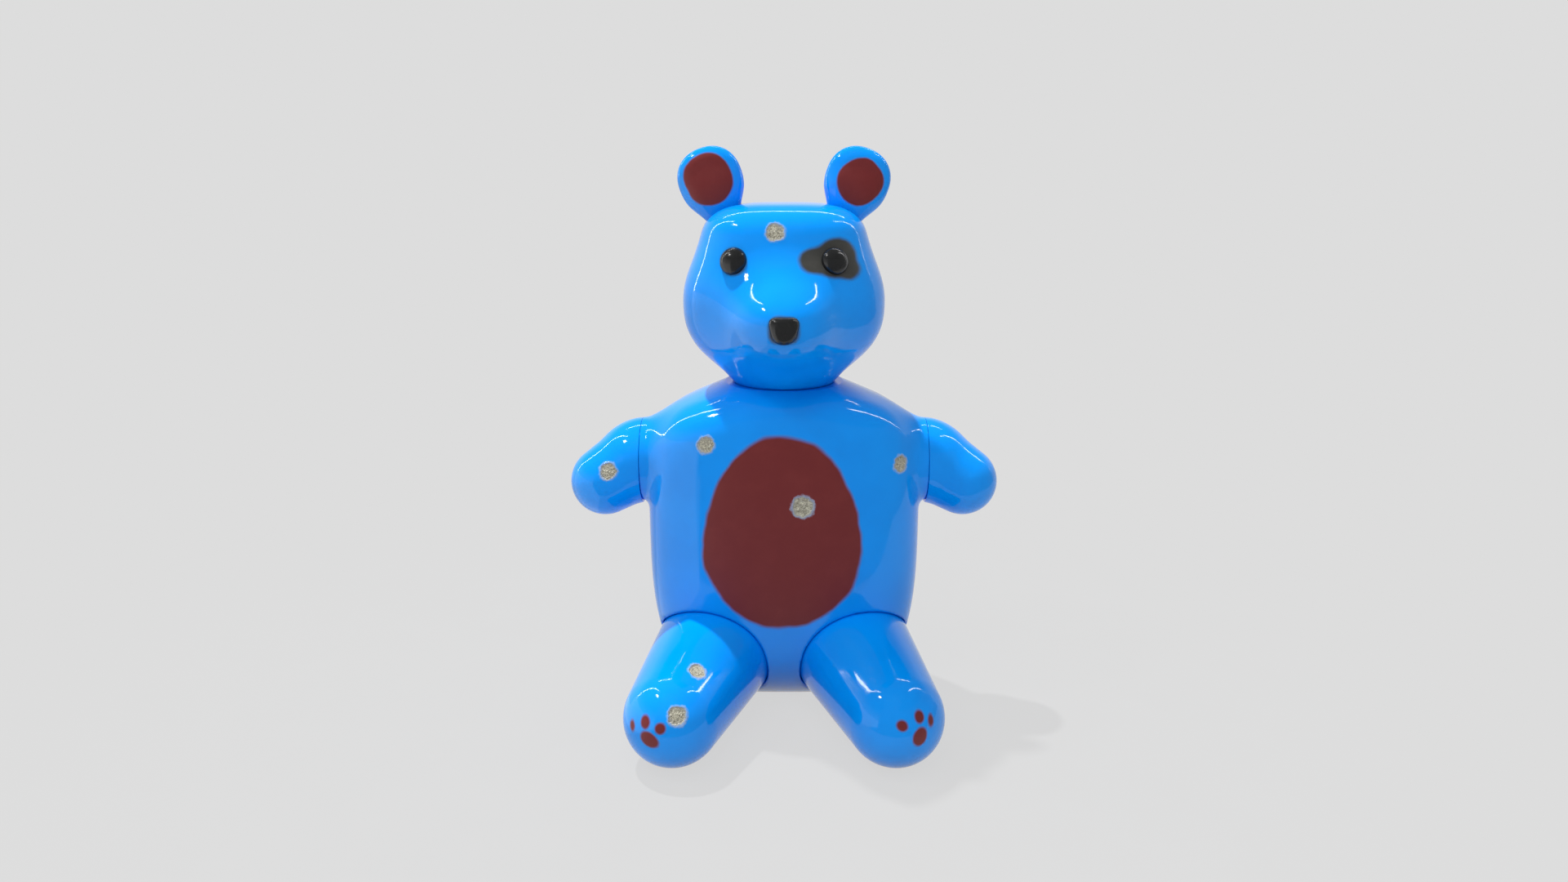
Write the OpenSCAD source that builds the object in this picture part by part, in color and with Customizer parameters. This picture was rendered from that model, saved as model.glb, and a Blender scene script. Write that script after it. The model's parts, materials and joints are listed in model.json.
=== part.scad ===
// Seated bear, a jointed vinyl figure: hollow moulded shells on snap joints.
// Millimetres. +X is the toy's own left, -Y its front, +Z up.
// Origin: the middle of the flat seat, on the surface that the toy sits on.

/* [Torso] */
// Height of the neck seam above the seat
torso_h = 120; // [96:1:150]
// Width across the hips and belly
torso_w = 98.4; // [80:0.2:120]
// Depth from belly to back
torso_d = 60; // [50:0.5:75]
// How far the belly's round form would run on above the neck seam
belly_rise = 16; // [12:0.5:20]
// How much of the belly's round form is cut away flat for the seat
seat_cut = 4; // [2:0.5:6]
// How square the belly is, 2 being an ellipsoid
belly_square = 2.9; // [2.2:0.1:3.4]
// Slope of the shoulders below the neck, in degrees
shoulder_slope = 24.7; // [15:0.1:32]
// Radius of the neck seam on the torso
neck_r = 20.9; // [18:0.1:24]
// Thickness of the moulded vinyl
wall = 2.4; // [1.6:0.1:3]
// Slit left between two shells that turn on each other
seam_gap = 0.3; // [0.2:0.05:0.5]

/* [Head] */
// Width across the cheeks
head_w = 70.4; // [58:0.2:85]
// Depth of the head without the muzzle
head_d = 54; // [45:0.5:65]
// Height of the flat crown above the neck seam
head_h = 62; // [54:0.5:70]
// Height of the cheeks' middle above the neck seam
cheek_z = 27; // [24:0.5:30]
// Height of the cheeks' round form
cheek_h = 49; // [42:0.5:56]
// Width across the temples
temple_w = 59.6; // [50:0.2:70]
// Height of the muzzle's middle above the neck seam
muzzle_z = 24; // [20:0.5:28]
// How far the muzzle's tip stands in front of the neck's axis
muzzle_reach = 42; // [38:0.5:48]
// Width of the muzzle
muzzle_w = 30; // [24:0.5:36]

/* [Face and ears] */
// Diameter of the domed safety eyes
eye_dia = 9; // [7:0.5:11]
// Distance between the eyes
eye_gap = 33.2; // [28:0.2:40]
// Height of the eyes above the neck seam
eye_z = 44; // [40:0.5:48]
// Width of the nose along its top edge
nose_w = 10.4; // [8:0.2:13]
// Height of the nose
nose_h = 9; // [7:0.2:11]
// Diameter of the round ears
ear_dia = 22.2; // [18:0.2:26]
// Thickness of the ears
ear_t = 9.2; // [7:0.2:11]
// Distance between the middles of the ears
ear_gap = 50.8; // [44:0.2:58]
// Height of the ears' middle above the crown
ear_rise = 7.6; // [6:0.2:9]
// How far the ears lean outwards, in degrees
ear_lean = 20; // [12:1:28]

/* [Arms] */
// How far the shoulder seam lies outside the torso's side
shoulder_out = 1.8; // [1.4:0.1:3]
// Height of the shoulder joint below the neck seam
shoulder_drop = 29.1; // [26:0.2:34]
// Radius of the round shoulder
shoulder_r = 14.9; // [12.5:0.1:17]
// Radius of the hand
hand_r = 12.4; // [10:0.1:14]
// From the shoulder joint to the hand's middle, outwards
hand_out = 13.6; // [11:0.2:20]
// From the shoulder joint to the hand's middle, forwards
hand_fore = 4; // [0:0.5:8]
// From the shoulder joint to the hand's middle, downwards
hand_down = 7.2; // [4:0.2:10]

/* [Legs] */
// Radius of the thigh's round root
thigh_r = 21.5; // [18:0.1:25]
// Radius of the foot
foot_r = 16.6; // [14:0.1:20]
// Space between the two thighs
thigh_space = 8; // [4:0.5:14]
// How far the thigh roots lie in front of the seat's middle
hip_fore = 15; // [12:0.5:18]
// From the thigh root to the foot's middle, forwards
leg_reach = 39; // [32:0.5:48]
// From the thigh root to the foot's middle, outwards
leg_splay = 11.5; // [6:0.5:16]
// How much of the thigh's round back is cut away flat at the joint
hip_flat = 3.5; // [2.5:0.1:5]

/* [Joint hardware] */
// Radius of the limb joint posts
post_r = 3; // [2.4:0.1:4]
// Radius of the limb joint washers and post flanges
washer_r = 7.5; // [6:0.1:9]
// Thickness of a washer
washer_t = 1.1; // [0.8:0.1:1.5]
// Radius of the neck opening in both shells
collar_r = 14; // [12:0.1:16]
// Radius of the neck's turning post
neck_post_r = 7; // [5.5:0.1:8.5]
// Radial clearance of a post that turns in its bore
run_gap = 0.08; // [0.03:0.01:0.1]
// Radial clearance of a piece that is pressed in and stays
set_gap = 0.05; // [0.02:0.01:0.1]

/* [Hidden] */
$fn = 64;
left = 1;
right = -1;
vinyl_blue = [0.12, 0.56, 1];
glossy_black = [0.05, 0.05, 0.05];
fitting_white = [0.9, 0.9, 0.86];
washer_grey = [0.62, 0.64, 0.66];
far = 200;          // longer than any piece
bore_cut = 1;       // how far a cutting tool runs past the face it leaves by

// ---- Clay forms: the moulded outside as distances, less than 0 inside ----

// Both soft joins blend two distances over the width k
function soft_union(a, b, k) = let (h = max(k - abs(a - b), 0) / k) min(a, b) - h * h * k / 4;
function soft_cut(a, b, k) = -soft_union(-a, -b, k);

// Rounded block of half sizes r about c: n is 2 for an ellipsoid and more for squarer
function block(p, c, r, n) =
    let (q = [for (i = [0:2]) max(abs(p[i] - c[i]) / r[i], 1e-6)],
         f = pow(pow(q.x, n) + pow(q.y, n) + pow(q.z, n), 1 / n),
         g = [for (i = [0:2]) pow(q[i], n - 1) / r[i]])
    (f - 1) / (norm(g) * pow(f, 1 - n));

// Round-ended limb from a to b, whose radius runs from ra to rb
function limb(p, a, b, ra, rb) =
    let (ab = b - a, h = min(max((p - a) * ab / (ab * ab), 0), 1))
    norm(p - a - h * ab) - ra - (rb - ra) * h;

belly_top = torso_h + belly_rise;
belly_mid = (belly_top - seat_cut) / 2;
slope_rise = tan(shoulder_slope);
shoulder = [torso_w / 2 + shoulder_out, 0, torso_h - shoulder_drop];
sleeve_root = shoulder + [-26, 0, 26 * sin(16)];
sleeve_r = shoulder_r - 0.8;
crotch_tuck = 0.75; // slope of the undercut between the legs
crotch_y = 8;       // how far in front of the origin that undercut starts

function torso_form(p) =
    let (q = [abs(p.x), p.y, p.z],
         belly = block(q, [0, 1, belly_mid], [torso_w / 2, torso_d / 2, belly_top - belly_mid],
                       belly_square),
         cone = (q.z - torso_h + slope_rise * (norm([q.x, q.y]) - neck_r))
                / norm([1, slope_rise]),
         tuck = (-q.z - crotch_tuck * (q.y + crotch_y)) / norm([1, crotch_tuck]),
         bulk = soft_cut(soft_cut(belly, cone, 8), tuck, 8),
         sleeve = limb(q, sleeve_root, shoulder, sleeve_r, sleeve_r))
    soft_union(soft_union(bulk, sleeve, 5), norm(q - shoulder) - shoulder_r, 0.8);

muzzle = [0, 17 - muzzle_reach, torso_h + muzzle_z];

function head_form(p) =
    let (q = [abs(p.x), p.y, p.z],
         cheeks = block(q, [0, 0, torso_h + cheek_z], [head_w, head_d, cheek_h] / 2, 2.3),
         skull = block(q, [0, 2, torso_h + head_h - 22], [temple_w / 2, head_d / 2 - 3, 30], 2.5),
         chin = limb(q, [0, 0, torso_h - 2], [0, 0, torso_h + 14], neck_r - 4.4, neck_r + 4.1),
         snout = block(q, muzzle, [muzzle_w / 2, 17, 12], 2.2),
         mass = soft_union(soft_union(soft_union(cheeks, skull, 8), chin, 8), snout, 14))
    soft_cut(mass, p.z - torso_h - head_h, 10);

// Distance along d from o to where the form reaches a level, by halving the bracket
function reach(form, o, d, level, near, beyond, halvings) =
    let (mid = (near + beyond) / 2)
    halvings == 0 ? mid
    : form(o + mid * d) < level ? reach(form, o, d, level, mid, beyond, halvings - 1)
    : reach(form, o, d, level, near, mid, halvings - 1);

function on_skin(form, o, d, level = 0) = o + d * reach(form, o, d, level, 0, 130, 14);

// Outward normal of a form at p
function outward(form, p) =
    let (e = 0.05, g = [form(p + [e, 0, 0]) - form(p - [e, 0, 0]),
                        form(p + [0, e, 0]) - form(p - [0, e, 0]),
                        form(p + [0, 0, e]) - form(p - [0, 0, e])])
    g / norm(g);

// Closed mesh of a form: rings of rays from one point inside it, with a point at each pole.
// The rays crowd by some degrees towards the front, and by others towards both sides.
module cast_form(form, centre, level, rings, rays, to_front = 0, to_sides = 0) {
    points = concat(
        [on_skin(form, centre, [0, 0, -1], level)],
        [for (i = [1:rings], j = [0:rays - 1])
            let (dip = -90 + 180 * i / (rings + 1), even = 360 * j / rays,
                 turn = even - to_front * cos(even) - to_sides * sin(2 * even))
            on_skin(form, centre, [cos(dip) * cos(turn), cos(dip) * sin(turn), sin(dip)], level)],
        [on_skin(form, centre, [0, 0, 1], level)]);
    top = rings * rays + 1;
    faces = concat(
        [for (j = [0:rays - 1]) [0, 1 + j, 1 + (j + 1) % rays]],
        [for (i = [0:rings - 2], j = [0:rays - 1], half = [0, 1])
            let (a = 1 + i * rays + j, b = 1 + i * rays + (j + 1) % rays)
            half == 0 ? [a, a + rays, b] : [b, a + rays, b + rays]],
        [for (j = [0:rays - 1])
            [top, 1 + (rings - 1) * rays + (j + 1) % rays, 1 + (rings - 1) * rays + j]]);
    polyhedron(points, faces, convexity = 6);
}

// ---- Placing and shared shapes ----

// Turns +Z to the direction d and moves the origin to p
module stand(p, d) {
    translate(p) rotate([0, acos(d.z / norm(d)), atan2(d.y, d.x)]) children();
}

// Mirrors its children for the toy's right side
module on_side(side) {
    if (side == right) mirror([1, 0, 0]) children();
    else children();
}

module both_sides() {
    for (side = [left, right]) on_side(side) children();
}

// Solid with round ends of two radii, its axis along +Z, the first end's middle at the origin
module round_cone(ra, rb, length) {
    lean = asin((ra - rb) / length);
    sink = 0.01;    // keeps the cone just under the balls that it would else only touch
    sphere(ra);
    translate([0, 0, length]) sphere(rb);
    translate([0, 0, ra * sin(lean)])
        cylinder(h = length + (rb - ra) * sin(lean), r1 = ra * cos(lean) - sink,
                 r2 = rb * cos(lean) - sink);
}

module disc(r, z0, z1, bore = 0) {
    translate([0, 0, z0]) difference() {
        cylinder(h = z1 - z0, r = r);
        if (bore > 0) translate([0, 0, -bore_cut]) cylinder(h = z1 - z0 + 2 * bore_cut, r = bore);
    }
}

// Ring of teeth on a pressed-on post: each is a short cone that widens away from the tip
module barbs(r, tip, count, pitch = 1.2, lip = 0.25) {
    for (i = [0:count - 1])
        translate([0, 0, tip - (i + 1) * pitch]) cylinder(h = pitch, r1 = r + lip, r2 = r);
}

// ---- Shells ----

torso_middle = [0, 0, 0.65 * torso_h];

// Room inside the seams of the torso: the seat, the neck and both shoulders, less an inset
module torso_room(inset) {
    half = shoulder.x - inset;
    translate([-half, -far / 2, inset]) cube([2 * half, far, torso_h - 2 * inset]);
}

hip = [thigh_r + thigh_space / 2, -hip_fore, thigh_r + 0.1];
hip_face = thigh_r - hip_flat; // from the thigh's middle back to its flat joint face
foot = hip + [leg_splay, -leg_reach, foot_r - hip.z];
leg_axis = (foot - hip) / norm(foot - hip);

// Room that the leg turns in, larger than the leg by a gap all round
module leg_room(gap) {
    stand(hip, leg_axis) intersection() {
        round_cone(thigh_r + gap, foot_r + gap, norm(foot - hip));
        translate([-far / 2, -far / 2, -hip_face - gap]) cube(far);
    }
}

// Round block inside the torso that leaves a wall round the leg's room, flat at its back
module hip_socket() {
    intersection() {
        translate(hip) sphere(thigh_r + seam_gap + 1.5 * wall);
        stand(hip, leg_axis)
            translate([-far / 2, -far / 2, -hip_face - seam_gap - wall]) cube(far);
    }
}

module torso_shell() {
    color(vinyl_blue) difference() {
        intersection() {
            cast_form(function(p) torso_form(p), torso_middle, 0, 36, 44, to_sides = 12);
            torso_room(0);
        }
        both_sides() leg_room(seam_gap);
        difference() {
            intersection() {
                cast_form(function(p) torso_form(p), torso_middle, -wall, 28, 36, to_sides = 12);
                torso_room(wall);
            }
            both_sides() hip_socket();
        }
        translate([0, 0, torso_h - wall - bore_cut]) cylinder(h = far, r = collar_r);
        both_sides() {
            stand(shoulder, [1, 0, 0])
                translate([0, 0, -wall - bore_cut]) cylinder(h = far, r = post_r + run_gap);
            stand(hip, -leg_axis) translate([0, 0, hip_face - bore_cut])
                cylinder(h = seam_gap + wall + 2 * bore_cut, r = post_r + run_gap);
        }
    }
}

head_middle = [0, -8, torso_h + 27];
head_floor = torso_h + seam_gap;

module head_room(inset) {
    translate([-far / 2, -far / 2, head_floor + inset]) cube(far);
}

eye_r = eye_dia / 2;
eye_point = on_skin(function(p) head_form(p), [eye_gap / 2, 0, torso_h + eye_z], [0, -1, 0]);
eye_normal = outward(function(p) head_form(p), eye_point);
nose_point = on_skin(function(p) head_form(p), muzzle, [0, -1, 0]);
trim_seat = 0.6;    // depth of the flat seats that the eyes stand in
nose_seat = 1.5;    // depth of the nose's seat in the rounder muzzle
trim_gap = 0.15;    // slit round the eyes and the nose
stem_r = 1.3;       // stems of the eyes and the nose
stem_l = 8;
ear_r = ear_dia / 2;
ear_middle = [ear_gap / 2, 4, torso_h + head_h + ear_rise];
ear_axis = [sin(ear_lean), 0, cos(ear_lean)];
ear_plug_r = 4.2;
ear_plug_l = 19.5;  // from the ear's middle to the plug's end

// The hole and the flat seat for a piece of trim whose stem goes in against the direction d
module stem_hole(p, d) {
    stand(p, d) translate([0, 0, -wall - 4]) cylinder(h = far, r = stem_r + set_gap);
}

module head_shell() {
    color(vinyl_blue) difference() {
        intersection() {
            cast_form(function(p) head_form(p), head_middle, 0, 32, 44, to_front = 22);
            head_room(0);
        }
        intersection() {
            cast_form(function(p) head_form(p), head_middle, -wall, 26, 36, to_front = 22);
            head_room(wall);
        }
        translate([0, 0, head_floor - bore_cut])
            cylinder(h = wall + 2 * bore_cut, r = collar_r);
        both_sides() {
            stem_hole(eye_point, eye_normal);
            stand(eye_point, eye_normal) translate([0, 0, -trim_seat])
                cylinder(h = far, r = eye_r + trim_gap);
            stand(ear_middle, -ear_axis) translate([0, 0, 9])
                cylinder(h = ear_plug_l - 6, r = ear_plug_r + set_gap);
        }
        stem_hole(nose_point, [0, -1, 0]);
        translate(nose_point) nose_outline(trim_gap, -far, nose_seat);
    }
}

// The trapezoid of the nose with round corners, from y0 in front to y1 behind
module nose_outline(grow, y0, y1) {
    corner = 1.6;
    top = nose_w / 2 - corner;
    low = nose_w * 0.32 - corner;
    up = nose_h / 2 - corner;
    rotate([90, 0, 0]) translate([0, 0, -y1]) linear_extrude(height = y1 - y0)
        for (x = [-1, 1], z = [-1, 1]) {
            end = z > 0 ? top : low;
            translate([x * end, z * up]) circle(corner + grow);
            polygon([[0, 0], [x * end, z * (up + corner + grow)], [0, z * (up + corner + grow)]]);
        }
    rotate([90, 0, 0]) translate([0, 0, -y1]) linear_extrude(height = y1 - y0)
        for (x = [-1, 1]) let (side = [2 * up, low - top] / norm([2 * up, low - top]),
                               out = (corner + grow) * side)
            polygon([[0, 0], [0, up], [x * top, up], [x * (top + out.x), up - out.y],
                     [x * (low + out.x), -up - out.y], [x * low, -up], [0, -up]]);
}

arm_root = shoulder + [4.5, -1.2, -2.1];
hand = shoulder + [hand_out, -hand_fore, -hand_down];

// Solid arm, made smaller by an inset, flat at the shoulder seam
module arm_solid(inset) {
    intersection() {
        union() {
            translate(shoulder) sphere(shoulder_r - inset);
            stand(arm_root, hand - arm_root)
                round_cone(shoulder_r - 1.1 - inset, hand_r - inset, norm(hand - arm_root));
        }
        translate([shoulder.x + seam_gap + inset, -far / 2, 0]) cube(far);
    }
}

module arm_shell(side) {
    color(vinyl_blue) on_side(side) difference() {
        arm_solid(0);
        arm_solid(wall);
        stand(shoulder, [1, 0, 0])
            cylinder(h = seam_gap + wall + bore_cut, r = post_r + set_gap);
    }
}

module leg_solid(inset) {
    stand(hip, leg_axis) intersection() {
        round_cone(thigh_r - inset, foot_r - inset, norm(foot - hip));
        translate([-far / 2, -far / 2, -hip_face + inset]) cube(far);
    }
}

module leg_shell(side) {
    color(vinyl_blue) on_side(side) difference() {
        leg_solid(0);
        leg_solid(wall);
        stand(hip, -leg_axis) translate([0, 0, hip_face - wall - bore_cut])
            cylinder(h = wall + 2 * bore_cut, r = post_r + set_gap);
    }
}

// ---- Face and ears ----

// A thick round lens with a blunt rim, lying in XY
module lens(r, t) {
    blunt = 1.6;
    bow = (r * r + t * t / 4) / t;
    rotate_extrude() intersection() {
        union() {
            intersection() {
                translate([0, t / 2 - bow]) circle(bow);
                translate([0, bow - t / 2]) circle(bow);
                square([2 * (r - blunt), t], center = true);
            }
            translate([r - blunt, 0]) circle(blunt);
        }
        translate([0, -t]) square([2 * r, 2 * t]);
    }
}

module ear(side) {
    color(vinyl_blue) on_side(side) {
        translate(ear_middle) rotate([90, 0, 0]) rotate([0, 0, -ear_lean]) lens(ear_r, ear_t);
        stand(ear_middle, -ear_axis) cylinder(h = ear_plug_l, r = ear_plug_r);
    }
}

// Stem of an eye or the nose, from its seat into the head
module trim_stem(seat) {
    translate([0, 0, -seat - stem_l]) cylinder(h = stem_l + bore_cut / 2, r = stem_r);
}

module eye(side) {
    dome = 3.4;     // height of the dome above the skin
    ball = (eye_r * eye_r + dome * dome) / (2 * dome);
    color(glossy_black) on_side(side) stand(eye_point, eye_normal) {
        intersection() {
            translate([0, 0, dome - ball]) sphere(ball);
            translate([0, 0, -trim_seat]) cylinder(h = far, r = eye_r);
        }
        trim_stem(trim_seat);
    }
}

module nose() {
    bow = 11;       // radius that the nose's front is domed to
    proud = 1.9;    // how far the nose stands out of the muzzle
    color(glossy_black) {
        intersection() {
            translate(nose_point) nose_outline(0, -far, nose_seat);
            translate(nose_point + [0, bow - proud, 0]) sphere(bow);
        }
        stand(nose_point, [0, -1, 0]) trim_stem(nose_seat);
    }
}

// Washer that holds an eye or the nose from inside the head, so far behind the skin
module trim_washer(p, d, r, behind) {
    color(washer_grey) stand(p, -d) disc(r, behind, behind + washer_t, stem_r + set_gap);
}

module eye_lock_washer(side) {
    on_side(side) trim_washer(eye_point, eye_normal, eye_r - 0.3, wall + 0.9);
}

module nose_lock_washer() {
    trim_washer(nose_point, [0, -1, 0], eye_r - 1.2, wall + 2.2);
}

// ---- Neck joint ----

collar_t = wall + 2;        // the collar is as long as the wall and its two lips
neck_turn_r = neck_post_r + run_gap;

// Ring pressed into the torso's opening from inside, with a lip under the wall
module neck_collar() {
    color(fitting_white) translate([0, 0, torso_h]) {
        disc(collar_r - set_gap, -collar_t, 0, neck_turn_r);
        disc(collar_r + 2, -collar_t, -wall - set_gap, neck_turn_r);
    }
}

snap_l = collar_t + washer_t + 1;

// Disc pressed into the head's opening, with the slotted post that snaps through the collar
module neck_plug() {
    lip = 0.7;
    color(fitting_white) translate([0, 0, head_floor]) {
        cylinder(h = wall + 1.6, r = collar_r - set_gap);
        translate([0, 0, wall + set_gap]) cylinder(h = 1.6 - set_gap, r = collar_r + 2);
        difference() {
            translate([0, 0, -seam_gap - snap_l - 3]) {
                cylinder(h = snap_l + seam_gap + 4, r = neck_post_r);
                cylinder(h = 1.5, r1 = neck_post_r - 0.8, r2 = neck_post_r + lip);
                translate([0, 0, 1.5]) cylinder(h = 1.2, r = neck_post_r + lip);
            }
            translate([0, 0, -seam_gap - snap_l - 4]) {
                cylinder(h = snap_l + 2, r = neck_post_r - 2);
                for (turn = [0, 90]) rotate([0, 0, turn])
                    translate([-far / 2, -0.7, 0]) cube([far, 1.4, snap_l]);
            }
        }
    }
}

// Loose ring that the snap bears on, under the collar
module neck_friction_ring() {
    color(washer_grey) translate([0, 0, torso_h])
        disc(collar_r - 1, -collar_t - washer_t - 0.3, -collar_t - 0.3, neck_turn_r);
}

// ---- Limb joints: each is drawn along +Z with the shell's joint face at z = 0 ----

module at_shoulder(side) {
    on_side(side) stand(shoulder, [-1, 0, 0]) children();
}

module at_hip(side) {
    on_side(side) stand(hip + leg_axis * -(hip_face + seam_gap), -leg_axis) children();
}

friction_z = wall + 0.1;                    // the friction washer lies on the torso's wall
lock_z = friction_z + washer_t + 0.1;
post_end = lock_z + washer_t + 2.6;

// Flange inside the limb, shaft through both walls, teeth at the end for the lock washer
module joint_post() {
    color(fitting_white) {
        disc(washer_r, -seam_gap - wall - set_gap - 1.4, -seam_gap - wall - set_gap);
        translate([0, 0, -seam_gap - wall - 1]) cylinder(h = seam_gap + wall + 1 + post_end, r = post_r);
        barbs(post_r, post_end, 2);
    }
}

module friction_washer() {
    color(washer_grey) disc(washer_r, friction_z, friction_z + washer_t, post_r + run_gap);
}

module lock_washer() {
    color(fitting_white) disc(washer_r - 1, lock_z, lock_z + washer_t, post_r + set_gap);
}

torso_shell();
head_shell();
arm_shell(left);  // left_arm_shell
arm_shell(right);  // right_arm_shell
leg_shell(left);  // left_leg_shell
leg_shell(right);  // right_leg_shell
ear(left);  // left_ear
ear(right);  // right_ear
eye(left);  // left_eye
eye(right);  // right_eye
nose();
eye_lock_washer(left);  // left_eye_lock_washer
eye_lock_washer(right);  // right_eye_lock_washer
nose_lock_washer();
neck_collar();
neck_plug();
neck_friction_ring();
at_shoulder(left) joint_post();  // left_arm_joint_post
at_shoulder(right) joint_post();  // right_arm_joint_post
at_shoulder(left) friction_washer();  // left_arm_friction_washer
at_shoulder(right) friction_washer();  // right_arm_friction_washer
at_shoulder(left) lock_washer();  // left_arm_lock_washer
at_shoulder(right) lock_washer();  // right_arm_lock_washer
at_hip(left) joint_post();  // left_leg_joint_post
at_hip(right) joint_post();  // right_leg_joint_post
at_hip(left) friction_washer();  // left_leg_friction_washer
at_hip(right) friction_washer();  // right_leg_friction_washer
at_hip(left) lock_washer();  // left_leg_lock_washer
at_hip(right) lock_washer();  // right_leg_lock_washer
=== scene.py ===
# %% [markdown]
# # A jointed vinyl bear
#
# The toy is hollow vinyl: a torso, a head, two arms and two legs, each cast in its own mould and
# held to the torso by a plastic joint. The engineering frame already holds every piece at its real
# size, with the joints. Here each shell gets its finished skin, and nothing of the frame is moved.
# All lengths below are in millimetres until a piece is handed to Blender, which counts in metres.

import json
import math

import bmesh
import bpy
import numpy as np
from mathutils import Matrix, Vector, noise


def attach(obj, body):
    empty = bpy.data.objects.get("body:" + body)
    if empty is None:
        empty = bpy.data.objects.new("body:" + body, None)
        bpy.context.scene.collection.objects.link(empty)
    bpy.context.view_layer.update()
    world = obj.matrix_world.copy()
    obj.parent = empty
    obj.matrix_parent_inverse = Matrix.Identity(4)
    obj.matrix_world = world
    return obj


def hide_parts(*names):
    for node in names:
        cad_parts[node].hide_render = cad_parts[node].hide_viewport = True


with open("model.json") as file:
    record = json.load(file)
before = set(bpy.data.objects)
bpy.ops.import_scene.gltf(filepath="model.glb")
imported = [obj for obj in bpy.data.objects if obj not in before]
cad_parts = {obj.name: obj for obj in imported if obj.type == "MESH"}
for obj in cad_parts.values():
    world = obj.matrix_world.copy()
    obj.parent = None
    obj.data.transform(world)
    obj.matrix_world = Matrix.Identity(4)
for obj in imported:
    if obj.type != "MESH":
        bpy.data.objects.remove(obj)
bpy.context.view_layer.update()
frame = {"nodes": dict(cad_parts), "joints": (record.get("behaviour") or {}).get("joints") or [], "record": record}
MM = 0.001
joints = {joint["name"]: joint for joint in frame["joints"]}


# %% [markdown]
# ## Places that the frame gives
#
# A piece that turns has to be round about its joint, so the middles of the shoulders and hips and
# the height of the neck are read from the joints and never typed again. The toy is the same on both
# sides, so only the left side's places are kept, and the right side is reached by a mirror.

# %% Joint places
def in_mm(values):
    return np.array(values, float) / MM


shoulder = in_mm(joints["left_shoulder"]["pos_m"])
hip = in_mm(joints["left_hip"]["pos_m"])
leg_axis = np.array(joints["left_hip"]["axis"], float)
neck_seam = in_mm(joints["neck"]["pos_m"])[2]
print("shoulder", shoulder, "hip", hip, "neck seam", neck_seam)


# %% [markdown]
# ## Clay forms
#
# A vinyl toy starts as a wax sculpture, pushed together from soft lumps. One could join spheres with
# booleans and bevel the seams, but the bevels never look pushed by a thumb. A distance form does:
# a function gives each point its distance to the surface, less than zero inside, and two functions
# flow into each other over a chosen width. The frame's shells were cast from the same formulas.

# %% Joining and cutting clay
def soft_union(a, b, blend):
    near = np.maximum(blend - np.abs(a - b), 0) / blend
    return np.minimum(a, b) - near * near * blend / 4


def soft_cut(a, b, blend):
    return -soft_union(-a, -b, blend)


# %% [markdown]
# Four lumps are enough for the whole toy: a block that can be anything between an egg and a cushion,
# a sausage with two radii for soft places, a true round cone for the limbs, whose side meets both
# balls without a crease, and a ball.

# %% Lumps of clay
def ball(p, middle, radius):
    return np.linalg.norm(p - middle, axis=-1) - radius


def block(p, middle, half, square):
    q = np.maximum(np.abs(p - middle) / half, 1e-6)
    size = (q ** square).sum(-1) ** (1 / square)
    slope = np.linalg.norm(q ** (square - 1) / half, axis=-1) * size ** (1 - square)
    return (size - 1) / slope


def sausage(p, start, end, start_r, end_r):
    along = end - start
    share = np.clip((p - start) @ along / (along @ along), 0, 1)
    out = np.linalg.norm(p - start - share[..., None] * along, axis=-1)
    return out - start_r - (end_r - start_r) * share


def round_cone(p, start, end, start_r, end_r):
    length = np.linalg.norm(end - start)
    axis = (end - start) / length
    lean = math.tan(math.asin((start_r - end_r) / length))
    height = (p - start) @ axis
    out = np.linalg.norm(p - start - height[..., None] * axis, axis=-1)
    share = np.clip((height - out * lean) / length, 0, 1)
    return np.hypot(out, height - share * length) - start_r - (end_r - start_r) * share


def left_half(p):
    q = p.copy()
    q[..., 0] = np.abs(q[..., 0])
    return q


# %% [markdown]
# ## Torso, arms and legs as clay
#
# The torso is one squarish egg. A wide cone trims its top to sloping shoulders, an undercut tucks
# in the crotch, and a short sleeve swells out on each side to a ball about the shoulder joint. The
# leg is a round cone along the hip's own axis, so it can turn in its socket without touching.

# %% Sizes of the torso and the limbs
seam_gap = 0.3
seam_shown = 0.14
wall = 2.4
belly_middle = np.array([0, 1, 66.0])
belly_half = np.array([49.2, 30, 70])
neck_r = 20.9
shoulder_slope = math.tan(math.radians(24.7))
crotch_slope = 0.75
crotch_front = 8
shoulder_r = 14.9
sleeve_root = shoulder + [-26, 0, 26 * math.sin(math.radians(16))]
thigh_r = 21.5
foot_r = 16.6
leg_length = 40.97
foot = hip + leg_axis * leg_length
hip_face = 18
arm_root = shoulder + [4.5, -1.2, -2.1]
hand = shoulder + [13.6, -4, -7.2]
hand_r = 12.4
print("foot at", foot.round(1), "hand at", hand.round(1), "wall", wall)


# %% The torso, the room for the legs, the arm and the leg
def torso_bulk(p):
    q = left_half(p)
    belly = block(q, belly_middle, belly_half, 2.9)
    reach = np.hypot(q[..., 0], q[..., 1])
    roof = (q[..., 2] - neck_seam + shoulder_slope * (reach - neck_r)) / math.hypot(1, shoulder_slope)
    tuck = (-q[..., 2] - crotch_slope * (q[..., 1] + crotch_front)) / math.hypot(1, crotch_slope)
    bulk = soft_cut(soft_cut(belly, roof, 8), tuck, 8)
    sleeve = sausage(q, sleeve_root, shoulder, shoulder_r - 0.8, shoulder_r - 0.8)
    return soft_union(soft_union(bulk, sleeve, 5), ball(q, shoulder, shoulder_r), 0.8)


def leg_room(p, gap):
    q = left_half(p)
    cone = round_cone(q, hip, foot, thigh_r + gap, foot_r + gap)
    return soft_cut(cone, -((q - hip) @ leg_axis) - hip_face - gap, 1)


def torso_skin(p):
    return soft_cut(torso_bulk(p), -leg_room(p, seam_shown), 1.6)


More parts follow.
